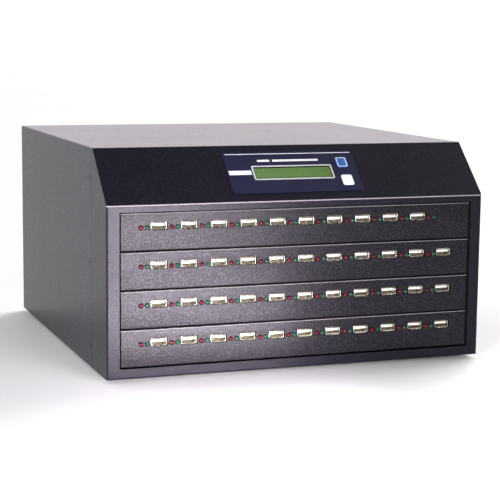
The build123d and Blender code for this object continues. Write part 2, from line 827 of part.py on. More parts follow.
def fan_frame(x, z, back):
    """A square fan frame with its struts, motor base and bearing, seen from the back of the case."""
    with BuildPart() as frame:
        with BuildSketch(facing(back)):
            with Locations((x, z)):
                Rectangle(fan_size, fan_size)
                RegularPolygon(fan_bore, round_sides, False, mode=Mode.SUBTRACT)
                with GridLocations(fan_hole_spacing, fan_hole_spacing, 2, 2):
                    RegularPolygon(fan_hole_radius, screw_sides, False, mode=Mode.SUBTRACT)
        extrude(amount=fan_depth)
        with BuildSketch(facing(back)):
            with Locations((x, z)):
                RegularPolygon(fan_hub, round_sides)
                Rectangle(2 * fan_bore + fan_strut_depth, fan_strut_width)
                Rectangle(fan_strut_width, 2 * fan_bore + fan_strut_depth)
        extrude(amount=fan_strut_depth)
        with BuildSketch(facing(back - fan_strut_depth)):
            with Locations((x, z)):
                RegularPolygon(stator_radius, round_sides // 2)
        extrude(amount=stator_length)
        with BuildSketch(facing(back - fan_strut_depth - stator_length)):
            with Locations((x, z)):
                Circle(shaft_radius + shaft_clearance)
        extrude(amount=-stator_length, mode=Mode.SUBTRACT)
    return frame.part


def fan_rotor(x, z, back):
    """The turning part of a fan: a cup over the motor, pitched blades and the shaft in its bearing."""
    cup_back = back - fan_strut_depth - rotor_gap
    cup_front = back - fan_depth + rotor_gap
    cup_middle = (cup_back + cup_front) / 2
    with BuildPart() as rotor:
        # Each blade is a pitched plate, trimmed to the ring between hub and tip
        for index in range(blade_count):
            turn = math.radians(index * 360 / blade_count)
            outward = Vector(math.cos(turn), 0, math.sin(turn))
            blade_plane = Plane(
                origin=Vector(x, cup_middle, z) + outward * (rotor_hub - rotor_hub_wall / 2),
                x_dir=Vector(0, 1, 0).rotate(Axis((0, 0, 0), outward), blade_pitch),
                z_dir=outward,
            )
            with BuildSketch(blade_plane):
                Rectangle(blade_depth / math.cos(math.radians(blade_pitch)), blade_thickness)
            extrude(amount=rotor_tip - rotor_hub + rotor_hub_wall / 2 + blade_trim)
        with BuildSketch(facing(cup_back)):
            with Locations((x, z)):
                RegularPolygon(rotor_tip, 2 * round_sides)
        extrude(amount=cup_back - cup_front, mode=Mode.INTERSECT)
        with BuildSketch(facing(cup_back)):
            with Locations((x, z)):
                RegularPolygon(rotor_hub, round_sides)
        extrude(amount=cup_back - cup_front)
        with BuildSketch(facing(cup_back)):
            with Locations((x, z)):
                RegularPolygon(rotor_hub - rotor_hub_wall, round_sides)
        extrude(amount=cup_back - cup_front - rotor_hub_wall, mode=Mode.SUBTRACT)
        with BuildSketch(facing(cup_back - shaft_inset)):
            with Locations((x, z)):
                Circle(shaft_radius)
        extrude(amount=cup_back - cup_front - rotor_hub_wall - shaft_inset)
    return rotor.part


# Fans: one on the back wall and one inside the supply
for fan_name, place in {
    "case_fan": (fan_x, fan_z, wall_inner_y),
    "supply_fan": (supply_fan_x, supply_z, supply_fan_back_y),
}.items():
    save(fan_frame(*place), f"{fan_name}_frame")
    save(fan_rotor(*place), f"{fan_name}_rotor")

# Power supply: a closed steel box, open inside only where its fan, inlet and switch sit
with BuildPart() as supply_case:
    with BuildSketch(facing(wall_inner_y)):
        with Locations((supply_x, supply_z)):
            Rectangle(supply_width, supply_height)
    extrude(amount=supply_depth)
    with BuildSketch(facing(supply_fan_back_y)):
        with Locations((supply_fan_x, supply_z)):
            Rectangle(fan_size + 2 * pocket_clearance, fan_size + 2 * pocket_clearance)
    extrude(amount=fan_depth + pocket_clearance, mode=Mode.SUBTRACT)
    with BuildSketch(facing(wall_inner_y)):
        air_slots(supply_fan_x, supply_z)
    extrude(amount=supply_wall, mode=Mode.SUBTRACT)
    with BuildSketch(facing(wall_inner_y)):
        with Locations((supply_x, supply_z)):
            with GridLocations(supply_hole_x, supply_hole_z, 2, 2):
                screw_hole()
    extrude(amount=screw_grip + pocket_clearance, mode=Mode.SUBTRACT)
    with BuildSketch(facing(wall_inner_y)):
        with Locations((socket_block_x, inlet_z)):
            Rectangle(
                inlet_body_width + 2 * pocket_clearance, inlet_body_height + 2 * pocket_clearance
            )
    extrude(amount=inlet_body_depth + pocket_clearance, mode=Mode.SUBTRACT)
    with BuildSketch(facing(wall_inner_y)):
        with Locations((socket_block_x, switch_z)):
            Rectangle(
                switch_body_width + 2 * pocket_clearance, switch_body_height + 2 * pocket_clearance
            )
    extrude(amount=switch_body_depth + pocket_clearance, mode=Mode.SUBTRACT)
save(supply_case.part, "supply_case")

# Power inlet: a moulded socket with a flange, a keyed mouth and three pins
inlet_face_y = wall_inner_y + inlet_flange_thickness
with BuildPart() as power_inlet:
    with BuildSketch(facing(wall_inner_y)):
        with Locations((socket_block_x, inlet_z)):
            Rectangle(inlet_flange_width, inlet_flange_height)
    extrude(amount=-inlet_flange_thickness)
    with BuildSketch(facing(wall_inner_y)):
        with Locations((socket_block_x, inlet_z)):
            Rectangle(inlet_body_width, inlet_body_height)
    extrude(amount=inlet_body_depth)
    with BuildSketch(facing(inlet_face_y)) as inlet_mouth:
        with Locations((socket_block_x, inlet_z)):
            Rectangle(inlet_mouth_width, inlet_mouth_height)
        chamfer(inlet_mouth.vertices().group_by(Axis.Y)[-1], inlet_mouth_corner)
    extrude(amount=inlet_mouth_depth, mode=Mode.SUBTRACT)
save(power_inlet.part, "power_inlet")

inlet_bottom_y = inlet_face_y - inlet_mouth_depth
with BuildPart() as inlet_pins:
    with BuildSketch(facing(inlet_bottom_y)):
        with Locations((socket_block_x, inlet_z - pin_rise / 2)):
            with GridLocations(pin_spacing, 0, 2, 1):
                Rectangle(pin_width, pin_height)
        with Locations((socket_block_x, inlet_z + pin_rise / 2)):
            Rectangle(pin_width, pin_height)
    extrude(amount=-pin_length)
save(inlet_pins.part, "inlet_pins")

# Power switch: a frame with a well, and a rocker on two pivots
switch_face_y = wall_inner_y + switch_frame_thickness
rocker_axis_y = switch_face_y - rocker_axis_depth
with BuildPart() as switch_frame:
    with BuildSketch(facing(wall_inner_y)):
        with Locations((socket_block_x, switch_z)):
            Rectangle(switch_frame_width, switch_frame_height)
    extrude(amount=-switch_frame_thickness)
    with BuildSketch(facing(wall_inner_y)):
        with Locations((socket_block_x, switch_z)):
            Rectangle(switch_body_width, switch_body_height)
    extrude(amount=switch_body_depth)
    with BuildSketch(facing(switch_face_y)):
        with Locations((socket_block_x, switch_z)):
            Rectangle(
                rocker_width + 2 * rocker_clearance, 2 * (rocker_radius + rocker_clearance)
            )
    extrude(amount=rocker_axis_depth + rocker_well, mode=Mode.SUBTRACT)
    with BuildSketch(Plane.YZ.offset(socket_block_x)):
        with Locations((rocker_axis_y, switch_z)):
            RegularPolygon(pivot_radius + pivot_clearance, pivot_sides, False)
    extrude(
        amount=rocker_width / 2 + pivot_length + pivot_clearance, both=True, mode=Mode.SUBTRACT
    )
save(switch_frame.part, "switch_frame")

# The rocker is a drum about its pivots, cut to a shallow V on top. It stands with its upper half in.
with BuildPart() as power_rocker:
    with BuildSketch(Plane.YZ.offset(socket_block_x)):
        with Locations((rocker_axis_y, switch_z)):
            Circle(rocker_radius)
            # The two faces of the V, outwards of the pivots
            v_reach = 3 * rocker_radius
            v_top = rocker_axis_depth + v_reach * math.tan(math.radians(rocker_tilt))
            Polygon(
                (rocker_axis_depth, 0),
                (v_top, v_reach),
                (v_reach, v_reach),
                (v_reach, -v_reach),
                (v_top, -v_reach),
                align=None,
                rotation=rocker_tilt,
                mode=Mode.SUBTRACT,
            )
        # Below the pivots the drum is cut off flat
        with Locations((rocker_axis_y - rocker_keel - rocker_radius, switch_z)):
            Rectangle(2 * rocker_radius, 3 * rocker_radius, mode=Mode.SUBTRACT)
    extrude(amount=rocker_width / 2, both=True)
    with BuildSketch(Plane.YZ.offset(socket_block_x)):
        with Locations((rocker_axis_y, switch_z)):
            RegularPolygon(pivot_radius, pivot_sides)
    extrude(amount=rocker_width / 2 + pivot_length, both=True)
save(power_rocker.part, "power_rocker")


def pan_screws(places, sheets):
    """Pan-head screws whose heads stand on the outside of the back: places are (x, y of the seat, z)."""
    with BuildPart() as screws:
        for x, seat_y, z in places:
            with BuildSketch(facing(seat_y)):
                with Locations((x, z)):
                    RegularPolygon(screw_head_radius, screw_sides, False)
            extrude(amount=-screw_head_height)
            with BuildSketch(facing(seat_y)):
                with Locations((x, z)):
                    RegularPolygon(screw_radius, screw_sides, False)
            extrude(amount=sheets)
    return screws.part


corners = [(i, k) for i in (-0.5, 0.5) for k in (-0.5, 0.5)]
fan_screw_places = [
    (fan_x + i * fan_hole_spacing, wall_y, fan_z + k * fan_hole_spacing) for i, k in corners
]
save(pan_screws(fan_screw_places, sheet + 4 * screw_grip), "fan_screws")
supply_screw_places = [
    (supply_x + i * supply_hole_x, wall_y, supply_z + k * supply_hole_z) for i, k in corners
]
save(pan_screws(supply_screw_places, sheet + screw_grip), "supply_screws")
cover_screw_places = [(x, back_y, z) for x, z in back_screw_places]
save(pan_screws(cover_screw_places, 2 * sheet + screw_grip), "cover_back_screws")

# Flush screws that hold the cover to the front housing and the tray
with BuildPart() as cover_side_screws:
    for side in (-1, 1):
        with BuildSketch(Plane.YZ.offset(side * case_width / 2)):
            with Locations(*side_screw_places):
                RegularPolygon(flush_head_radius, screw_sides, False)
        extrude(amount=-side * sheet, taper=flush_taper)
        with BuildSketch(Plane.YZ.offset(side * inner_x)):
            with Locations(*side_screw_places):
                RegularPolygon(screw_radius, screw_sides, False)
        extrude(amount=-side * (sheet + screw_grip))
save(cover_side_screws.part, "cover_side_screws")

# Feet: four rubber discs stuck under the tray
foot_top_z = floor_z + sheet
with BuildPart() as feet:
    with BuildSketch(Plane.XY.offset(foot_top_z)):
        with Locations(
            *[
                (side * (case_width / 2 - foot_inset_x), y)
                for side in (-1, 1)
                for y in (front_y + foot_inset_front, back_y - foot_inset_back)
            ]
        ):
            RegularPolygon(foot_radius, foot_sides)
    extrude(amount=-foot_top_z, taper=math.degrees(math.atan2(foot_draft, foot_top_z)))
save(feet.part, "feet")
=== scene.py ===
import math

import bmesh
import bpy
from mathutils import Matrix, Vector


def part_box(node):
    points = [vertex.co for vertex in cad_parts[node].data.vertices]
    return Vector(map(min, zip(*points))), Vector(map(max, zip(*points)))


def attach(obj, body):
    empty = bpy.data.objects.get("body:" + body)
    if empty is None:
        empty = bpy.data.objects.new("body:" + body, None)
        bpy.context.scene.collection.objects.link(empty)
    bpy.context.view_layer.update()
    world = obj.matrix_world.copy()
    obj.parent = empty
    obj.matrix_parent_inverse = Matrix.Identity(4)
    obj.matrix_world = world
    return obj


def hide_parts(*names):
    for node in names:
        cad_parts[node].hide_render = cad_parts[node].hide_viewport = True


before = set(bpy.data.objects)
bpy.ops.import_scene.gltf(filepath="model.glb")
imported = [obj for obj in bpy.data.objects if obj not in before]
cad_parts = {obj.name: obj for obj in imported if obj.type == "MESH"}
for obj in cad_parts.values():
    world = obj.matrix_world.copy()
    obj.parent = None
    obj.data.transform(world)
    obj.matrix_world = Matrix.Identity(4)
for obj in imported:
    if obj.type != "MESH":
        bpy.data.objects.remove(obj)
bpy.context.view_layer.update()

# The studio: a pale floor that runs to the horizon, and a bright backdrop behind on the right.
# Broad soft light comes from both sides, a spot from the left, and a strip from above the front.
# Two low soft boxes stand before the panels, and the camera is left of the middle, a little above.
scene = bpy.context.scene
scene.view_settings.view_transform = "Standard"


class Signal:
    """One output of a shader node. Arithmetic on signals adds the nodes that work it out."""

    def __init__(self, finish, made, output=0):
        self.finish = finish
        self.made = made
        self.socket = made.outputs[output]

    def take(self, output):
        return Signal(self.finish, self.made, output)

    def math(self, operation, *others):
        return self.finish.node("Math", {"operation": operation}, self, *others)

    def __add__(self, other):
        return self.math("ADD", other)

    def __sub__(self, other):
        return self.math("SUBTRACT", other)

    def __rsub__(self, other):
        return self.finish.node("Math", {"operation": "SUBTRACT"}, other, self)

    def __mul__(self, other):
        return self.math("MULTIPLY", other)

    def __gt__(self, other):
        return self.math("GREATER_THAN", other)

    def __lt__(self, other):
        return self.math("LESS_THAN", other)

    __radd__ = __add__
    __rmul__ = __mul__


class Finish:
    """A material: its principled shader, and the nodes that feed it."""

    def __init__(self, name, tree=None):
        if tree is None:
            self.material = bpy.data.materials.new(name)
            self.material.use_nodes = True
            tree = self.material.node_tree
        self.tree = tree

    def node(self, kind, settings=None, *values, **named):
        """Adds a node: first its settings, then its sockets, in order or by name."""
        made = self.tree.nodes.new("ShaderNode" + kind)
        for key, value in (settings or {}).items():
            if key == "stops":
                stops = made.color_ramp.elements
                while len(stops) < len(value):
                    stops.new(0.5)
                for stop, (position, colour) in zip(stops, value):
                    stop.position = position
                    stop.color = (*colour, 1)
            else:
                setattr(made, key, value)
        for socket, value in zip(made.inputs, values):
            self.plug(socket, value)
        for key, value in named.items():
            socket = next(s for s in made.inputs if key in (s.identifier, s.name))
            self.plug(socket, value)
        return Signal(self, made)

    def plug(self, socket, value):
        if isinstance(value, Signal):
            self.tree.links.new(value.socket, socket)
        else:
            socket.default_value = value

    def mix(self, factor, first, second):
        """A colour between two colours, each three numbers or a signal."""
        ends = [end if isinstance(end, Signal) else (*end, 1) for end in (first, second)]
        named = {"Factor_Float": factor, "A_Color": ends[0], "B_Color": ends[1]}
        return self.node("Mix", {"data_type": "RGBA"}, **named).take(2)

    def place(self):
        """Where a point of the surface is, in metres."""
        return self.node("TexCoord").take("Object")

    def along(self, direction):
        """How far a point lies along a direction, in metres."""
        dot = self.node("VectorMath", {"operation": "DOT_PRODUCT"}, self.place(), direction)
        return dot.take(1)

    def noise(self, size, detail=2.0, roughness=0.5, stretch=(1, 1, 1)):
        """Soft noise whose patches are about this size in metres."""
        place = self.node("Mapping", None, Vector=self.place(), Scale=stretch)
        named = {"Vector": place, "Scale": 1 / size, "Detail": detail, "Roughness": roughness}
        return self.node("TexNoise", None, **named)

    def surface(self, sockets):
        """Sets or links sockets of the principled shader."""
        shader = self.tree.nodes["Principled BSDF"]
        for name, value in sockets.items():
            self.plug(shader.inputs[name], value)
        return self


floor_tone = (0.88, 0.88, 0.885)
floor_dust = (0.84, 0.84, 0.845)
floor_reach = 60.0
floor_finish = Finish("pale_floor")
floor_cloud = floor_finish.noise(0.35)
floor_colour = floor_finish.mix(floor_cloud, floor_tone, floor_dust)
floor_finish.surface({"Base Color": floor_colour, "Roughness": 0.6 + 0.1 * floor_cloud})

floor_shape = bmesh.new()
bmesh.ops.create_grid(floor_shape, x_segments=1, y_segments=1, size=floor_reach)
floor_mesh = bpy.data.meshes.new("floor")
floor_shape.to_mesh(floor_mesh)
floor_shape.free()
floor_mesh.materials.append(floor_finish.material)
floor = bpy.data.objects.new("floor", floor_mesh)
scene.collection.objects.link(floor)

world = bpy.data.worlds.new("studio")
world.use_nodes = True
scene.world = world
sky = Finish("studio", world.node_tree)
sky_middle = Vector((0.32, 0.88, 0.36)).normalized()  # the bright part, behind on the right
sky_nearness = sky.along(sky_middle) * 0.5 + 0.5  # 1 at that part, 0 opposite it
sky_strength = 1.9
sky_rim = 0.06  # height of the white rim where the floor ends, in a sky of radius 1
sky_dark = (0.018, 0.016, 0.022)
sky_grey = (0.12, 0.118, 0.125)
sky_white = (1.0, 0.93, 0.985)
sky_tones = [(0.0, sky_dark), (0.62, sky_dark), (0.89, sky_grey), (0.985, sky_white)]
sky_high = sky.node("ValToRGB", {"stops": sky_tones}, sky_nearness)
sky_low = sky.along((0, 0, 1)) < sky_rim
sky_colour = sky.mix(sky_low, sky_high, sky_white)
world_shader = world.node_tree.nodes["Background"]
sky.plug(world_shader.inputs["Color"], sky_colour)
sky.plug(world_shader.inputs["Strength"], sky_strength)

broad = {"angle": math.radians(50)}
spot = {"spot_size": math.radians(24), "spot_blend": 0.6, "shadow_soft_size": 0.12}
lilac = (1.0, 0.93, 1.0)
strip = {"shape": "RECTANGLE", "size": 0.6, "size_y": 0.08, "color": lilac}
far_box = {"shape": "RECTANGLE", "size": 0.215, "size_y": 0.09, "color": lilac}
far_box["spread"] = math.radians(70)
near_box = dict(far_box, size=0.20, size_y=0.03)
lights = [  # name, kind, place, target, power and settings
    ("right_sky", "SUN", (1.2, 0.68, 0.58), (0, 0, 0), 4.1, broad),
    ("left_sky", "SUN", (-0.9, 0.5, 0.8), (0, 0, 0), 1.5, broad),
    ("left_spot", "SPOT", (-1.1, -1.4, 0.40), (0.03, -0.166, 0.10), 110, spot),
    ("high_strip", "AREA", (0.33, -0.97, 0.94), (0, -0.166, 0.143), 2.5, strip),
    ("far_soft_box", "AREA", (-0.050, -0.60, 0.084), (-0.12, -0.166, 0.09), 0.56, far_box),
    ("near_soft_box", "AREA", (-0.06, -0.35, 0.020), (-0.11, -0.166, 0.02), 0.155, near_box),
]
for name, kind, place, target, power, settings in lights:
    data = bpy.data.lights.new(name, kind)
    data.energy = power
    for key, value in settings.items():
        setattr(data, key, value)
    light = bpy.data.objects.new(name, data)
    light.location = place
    light.rotation_euler = (Vector(target) - Vector(place)).to_track_quat("-Z", "Y").to_euler()
    light.visible_camera = False
    scene.collection.objects.link(light)

camera_place = Vector((-0.45398, -1.28097, 0.27964))
camera_pitch = math.radians(8.43)  # down
camera_yaw = math.radians(20.11)  # to the right of straight ahead
camera_roll = math.radians(0.62)
camera_sensor = 36.0
camera_lens = 106.03
camera_data = bpy.data.cameras.new("camera")
camera_data.sensor_width = camera_sensor
camera_data.lens = camera_lens
camera = bpy.data.objects.new("camera", camera_data)
level_reach = math.cos(camera_pitch)
ahead = Vector(
    (
        math.sin(camera_yaw) * level_reach,
        math.cos(camera_yaw) * level_reach,
        -math.sin(camera_pitch),
    )
)
level = ahead.cross(Vector((0, 0, 1))).normalized()
upright = level.cross(ahead)
across = level * math.cos(camera_roll) + upright * math.sin(camera_roll)
above = upright * math.cos(camera_roll) - level * math.sin(camera_roll)
camera_turn = Matrix((across, above, -ahead)).transposed()
camera.matrix_world = Matrix.Translation(camera_place) @ camera_turn.to_4x4()
scene.collection.objects.link(camera)
scene.camera = camera

# Feet: four round rubber feet under the tray, cast with a slight taper and a rounded lower edge.
# Each has a well in its middle, for the screw that holds it.
mm = 0.001
smooth_limit = math.radians(32)  # a sharper bend than this stays an edge
full_turn = 2 * math.pi


def moulding(name, dark, light, grain, roughness, relief=0.2):
    """A moulded plastic or rubber: faintly clouded, with a fine grain from the tool."""
    made = Finish(name)
    cloud = made.noise(14 * grain)
    pores = made.noise(grain, detail=1.0)
    bump = made.node("Bump", None, Strength=relief, Distance=0.05 * mm, Height=pores)
    colour = made.mix(cloud, dark, light)
    worn = roughness + 0.1 * cloud
    return made.surface({"Base Color": colour, "Roughness": worn, "Normal": bump})


def seat(place, out, up=(0, 0, 1)):
    """The matrix of a place whose Z axis points out of a surface and whose Y axis points up it."""
    out = Vector(out).normalized()
    side = Vector(up).cross(out).normalized()
    turn = Matrix((side, out.cross(side), out)).transposed()
    return Matrix.Translation(place) @ turn.to_4x4()


def moved(bm, before, at):
    """Puts all vertices that are not among the earlier ones at their place, and returns them."""
    verts = list(set(bm.verts) - before)
    bmesh.ops.transform(bm, matrix=at, verts=verts)
    return verts


def turned(bm, profile, steps, at):
    """Spins a profile of (radius, height) points about a place's Z axis."""
    before = set(bm.verts)
    points = [bm.verts.new((radius, 0, height)) for radius, height in profile]
    runs = [bm.edges.new(pair) for pair in zip(points, points[1:])]
    bmesh.ops.spin(
        bm,
        geom=points + runs,
        axis=(0, 0, 1),
        cent=(0, 0, 0),
        angle=full_turn,
        steps=steps,
        use_merge=True,
    )
    bmesh.ops.remove_doubles(bm, verts=list(set(bm.verts) - before), dist=0.0001 * mm)
    return moved(bm, before, at)


def copies(bm, verts, shifts):
    """Copies a shape to other places, each a shift from the first."""
    faces = {face for vert in verts for face in vert.link_faces}
    edges = {edge for vert in verts for edge in vert.link_edges}
    first = list(verts) + list(edges) + list(faces)
    for shift in shifts:
        made = bmesh.ops.duplicate(bm, geom=first)["geom"]
        new = [item for item in made if isinstance(item, bmesh.types.BMVert)]
        bmesh.ops.translate(bm, verts=new, vec=shift)


def place_piece(bm, name, finish, body="housing", replaced=()):
    """Turns a bmesh into a piece that rides on a body and stands for CAD nodes."""
    bmesh.ops.recalc_face_normals(bm, faces=bm.faces)
    mesh = bpy.data.meshes.new(name)
    bm.to_mesh(mesh)
    bm.free()
    mesh.shade_smooth()
    mesh.set_sharp_from_angle(angle=smooth_limit)
    mesh.materials.append(finish.material)
    piece = bpy.data.objects.new(name, mesh)
    scene.collection.objects.link(piece)
    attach(piece, body)
    if replaced:
        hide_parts(*replaced)


foot_radius = 10.0 * mm
foot_height = 4.2 * mm
foot_toe = 9.9 * mm
foot_edge = [(0, 0.7), (0.25, 0.2), (0.8, 0)]  # in from the toe and up, in millimetres
foot_sides = 32
foot_well = 3.4 * mm
foot_well_depth = 2.2 * mm
foot_places = [Vector((x, y, 0)) * mm for x in (-136, 136) for y in (-132, 136)]
foot_profile = [
    (0, foot_height),
    (foot_radius, foot_height),
    *((foot_toe - inset * mm, rise * mm) for inset, rise in foot_edge),
    (foot_well, 0),
    (foot_well, foot_well_depth),
    (0, foot_well_depth),
]
rubber = moulding("black_rubber", (0.012, 0.012, 0.012), (0.03, 0.03, 0.03), 0.5 * mm, 0.7)
feet = bmesh.new()
foot = turned(feet, foot_profile, foot_sides, Matrix.Translation(foot_places[0]))
copies(feet, foot, [place - foot_places[0] for place in foot_places[1:]])
place_piece(feet, "rubber_feet", rubber, replaced=["feet"])


# Tray: floor, side flanges and back wall, folded from one steel sheet and powder-coated black.
# The coat has a fine pebbled grain that breaks a reflection into small points, with a few flecks.
fleck_range = {"From Min": 0.52, "From Max": 0.68}
# The pale tone of the bends near the front is a painted highlight.
worn_tone = (0.30, 0.275, 0.30)
worn_depth = -164.3 * mm  # the painted highlight shows only in front of this


def powder_coat(name, tone, fleck, grain, relief, worn):
    """Black powder coat: a satin skin over sheet steel, pebbled like fine leather.

    It is painted pale along the front bends, as a painted highlight where a bend catches the light.
    The painted highlight is told by the height of one bend, the step from it to the next, and its
    width.
    """
    coat = Finish(name)
    pebbles = coat.noise(grain, roughness=0.6)
    specks = coat.noise(0.8 * grain, detail=1.0)
    flecks = coat.node("MapRange", None, Value=specks, **fleck_range)
    cloud = coat.noise(60 * mm)
    colour = coat.mix(flecks, tone, fleck)
    worn_height, worn_step, worn_width = worn
    turns = (coat.along((0, 0, 1)) - worn_height) * (1 / worn_step)
    bends = turns.math("FRACT") > 1 - worn_width / worn_step
    at_front = coat.along((0, 1, 0)) < worn_depth
    # Painted highlight: the bends near the front are made pale, where they would catch the light.
    colour = coat.mix(at_front * bends, colour, worn_tone)
    bump = coat.node("Bump", None, Strength=1.0, Distance=relief, Height=pebbles)
    roughness = 0.20 + 0.24 * pebbles + 0.04 * cloud
    sockets = {"Base Color": colour, "Roughness": roughness, "Normal": bump, "IOR": 1.3}
    return coat.surface(dict(sockets, Metallic=0.7 * flecks))


def dress(finish, slot, *nodes):
    """Gives CAD nodes, whose shape stays, their real finish."""
    for name in nodes:
        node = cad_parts[name]
        node.data.materials.clear()
        node.data.materials.append(finish.material)


case_tone = (0.0036, 0.0027, 0.0064)
case_fleck = (0.028, 0.024, 0.041)
case_grain = 1.4 * mm
case_relief = 0.15 * mm
case_worn = (143.3 * mm, 1.0, 0.9 * mm)  # painted highlight, only along the fold at the foot of the slope
case_coat = powder_coat(
    "case_powder_coat", case_tone, case_fleck, case_grain, case_relief, case_worn
)
dress(case_coat, "case_paint", "chassis_tray")

# Power supply: a closed box of zinc-plated steel, behind a window in the back wall.
# The plating has a faint crystal pattern and rolling marks along its length.
zinc = Finish("zinc_plate")
zinc_crystals = zinc.node("TexVoronoi", None, Vector=zinc.place(), Scale=1 / (9 * mm)).take(1)
zinc_rolling = zinc.noise(0.8 * mm, detail=3.0, stretch=(0.06, 0.06, 1))
zinc_shade = zinc.node("RGBToBW", None, zinc_crystals) * 0.4 + 0.6 * zinc_rolling
zinc_dark = (0.42, 0.43, 0.44)
zinc_light = (0.66, 0.67, 0.67)
zinc_colour = zinc.mix(zinc_shade, zinc_dark, zinc_light)
zinc.surface(
    {"Base Color": zinc_colour, "Metallic": 1.0, "Roughness": 0.30 + 0.16 * zinc_shade}
)
dress(zinc, "zinc_steel", "supply_case")

# Mains inlet: a moulded black socket with three plated pins, into which a mains lead plugs.
# It is clipped into the face of the power supply.
plastic_dark = (0.010, 0.010, 0.011)
plastic_light = (0.018, 0.018, 0.020)
black_moulding = moulding("black_moulding", plastic_dark, plastic_light, 0.35 * mm, 0.42)


def plating(name, dark, light, roughness):
    """Plated metal, a little clouded where the bath was uneven."""
    made = Finish(name)
    cloud = made.noise(2.5 * mm, detail=3.0)
    colour = made.mix(cloud, dark, light)
    worn = roughness + 0.14 * cloud
    return made.surface({"Base Color": colour, "Metallic": 1.0, "Roughness": worn})


brass = plating("brass_pins", (0.66, 0.50, 0.24), (0.84, 0.68, 0.38), 0.25)
dress(black_moulding, "black_plastic", "power_inlet")
dress(brass, "brass", "inlet_pins")

# Power switch: a black rocker in a black frame. The usual two marks, a bar for on and a ring for
# off, are printed on the halves of the rocker in white.
rocker_pivot = Vector((126.0, 163.2, 67.4)) * mm
rocker_rise = 2.0 * mm  # from the pivots to the crease
rocker_tilt = math.radians(10)
mark_reach = 4.6 * mm  # from the crease
mark_line = 0.7 * mm
bar_length = 4.2 * mm
ring_radius = 2.0 * mm
ring_steps = 24
ink_depth = 0.05 * mm
backward = (0, 1, 0)
ink_white = moulding("white_ink", (0.50, 0.51, 0.55), (0.62, 0.63, 0.67), 0.3 * mm, 0.45, 0.1)
dress(black_moulding, "black_plastic", "switch_frame", "power_rocker")


def rounded_face(bm, size, corner=0.0, centre=(0, 0), steps=3):
    """A flat rounded rectangle on the XY plane."""
    at = Matrix.Translation((*centre, 0)) @ Matrix.Diagonal((*size, 1, 1))
    verts = bmesh.ops.create_grid(bm, x_segments=1, y_segments=1, size=0.5, matrix=at)["verts"]
    face = verts[0].link_faces[0]
    if corner:
        cut = bmesh.ops.bevel(
            bm,
            geom=verts,
            offset=corner,
            offset_type="OFFSET",
            affect="VERTICES",
            segments=steps,
            profile=0.5,
            material=-1,
        )
        faces = {face for vert in cut["verts"] for face in vert.link_faces}
        face = max(faces, key=lambda one: one.calc_area())
    return face


def outline(bm, size, corner=0.0, centre=(0, 0), steps=3):
    """The edges of a rounded rectangle on the XY plane."""
    face = rounded_face(bm, size, corner, centre, steps)
    edges = list(face.edges)
    bmesh.ops.delete(bm, geom=[face], context="FACES_ONLY")
    return edges


def round_outline(bm, radius, centre=(0, 0), steps=16):
    """The edges of a circle on the XY plane."""
    at = Matrix.Translation((*centre, 0))
    made = bmesh.ops.create_circle(bm, segments=steps, radius=radius, cap_ends=False, matrix=at)
    return list({edge for vert in made["verts"] for edge in vert.link_edges})


def raised(bm, faces, height):
    """Extrudes flat faces along Z into a solid and returns its far faces."""
    made = bmesh.ops.extrude_face_region(bm, geom=faces)["geom"]
    verts = [item for item in made if isinstance(item, bmesh.types.BMVert)]
    bmesh.ops.translate(bm, verts=verts, vec=(0, 0, height))
    return [item for item in made if isinstance(item, bmesh.types.BMFace)]


def soften(bm, edges, reach, segments=2):
    """Rounds edges off."""
    bmesh.ops.bevel(
        bm,
        geom=edges,
        offset=reach,
        affect="EDGES",
        segments=segments,
        profile=0.5,
        clamp_overlap=True,
        material=-1,
    )


def band(bm, edges, thickness, at, before):
    """A flat frame between two outlines, with its back on the XY plane of a place."""
    made = bmesh.ops.bridge_loops(bm, edges=edges)
    raised(bm, made["faces"], thickness)
    return moved(bm, before, at)


def plate(bm, size, thickness, at, corner=0.0, softened=0.0):
    """A flat plate with rounded corners, its back on the XY plane of a place."""
    before = set(bm.verts)
    top = raised(bm, [rounded_face(bm, size, corner)], thickness)
    if softened:
        soften(bm, list(top[0].edges), softened, 3)
    return moved(bm, before, at)


crease = rocker_pivot + rocker_rise * Vector((0, math.cos(rocker_tilt), math.sin(rocker_tilt)))
lower_run = Vector((0, math.sin(2 * rocker_tilt), -math.cos(2 * rocker_tilt)))
lower_out = Vector((0, math.cos(2 * rocker_tilt), math.sin(2 * rocker_tilt)))
marks = bmesh.new()
bar_seat = seat(crease + Vector((0, 0, mark_reach)), backward)
plate(marks, (mark_line, bar_length), ink_depth, bar_seat)
before = set(marks.verts)
edges = round_outline(marks, ring_radius, steps=ring_steps)
edges += round_outline(marks, ring_radius - mark_line, steps=ring_steps)
band(marks, edges, ink_depth, seat(crease + lower_run * mark_reach, lower_out, -lower_run), before)
place_piece(marks, "rocker_marks", ink_white, body="rocker")

# Fans: one on the back wall and one inside the supply. Each has a moulded square frame and a
# rotor whose blades are swept and pitched round a cup.
rotor_depth = 20.4 * mm
blade_count = 7
blade_turn = math.radians(38)
blade_steps = 6
blade_wall = 1.3 * mm
blade_start = 2.6 * mm  # behind the front of the cup
blade_rise = 15.0 * mm
blade_line = [(15.4 * mm, 0), (26.0 * mm, -1.6 * mm), (36.2 * mm, -5.0 * mm)]  # root to tip
cup_radius = 16.0 * mm
cup_wall = 1.4 * mm
cup_round = 1.5 * mm
cup_chamfer = 0.4 * mm
cup_sides = 40
shaft_radius = 1.5 * mm
shaft_end = rotor_depth - 2.0 * mm
cup_profile = [
    (0, 0),
    (cup_radius - cup_round, 0),
    (cup_radius - cup_chamfer, cup_chamfer),
    (cup_radius, cup_round),
    (cup_radius, rotor_depth),
    (cup_radius - cup_wall, rotor_depth),
    (cup_radius - cup_wall, cup_wall),
    (shaft_radius, cup_wall),
    (shaft_radius, shaft_end),
    (0, shaft_end),
]
fan_plastic = moulding("fan_plastic", (0.009, 0.009, 0.010), (0.016, 0.016, 0.018), 0.4 * mm, 0.38)
dress(fan_plastic, "black_plastic", "case_fan_frame", "supply_fan_frame")
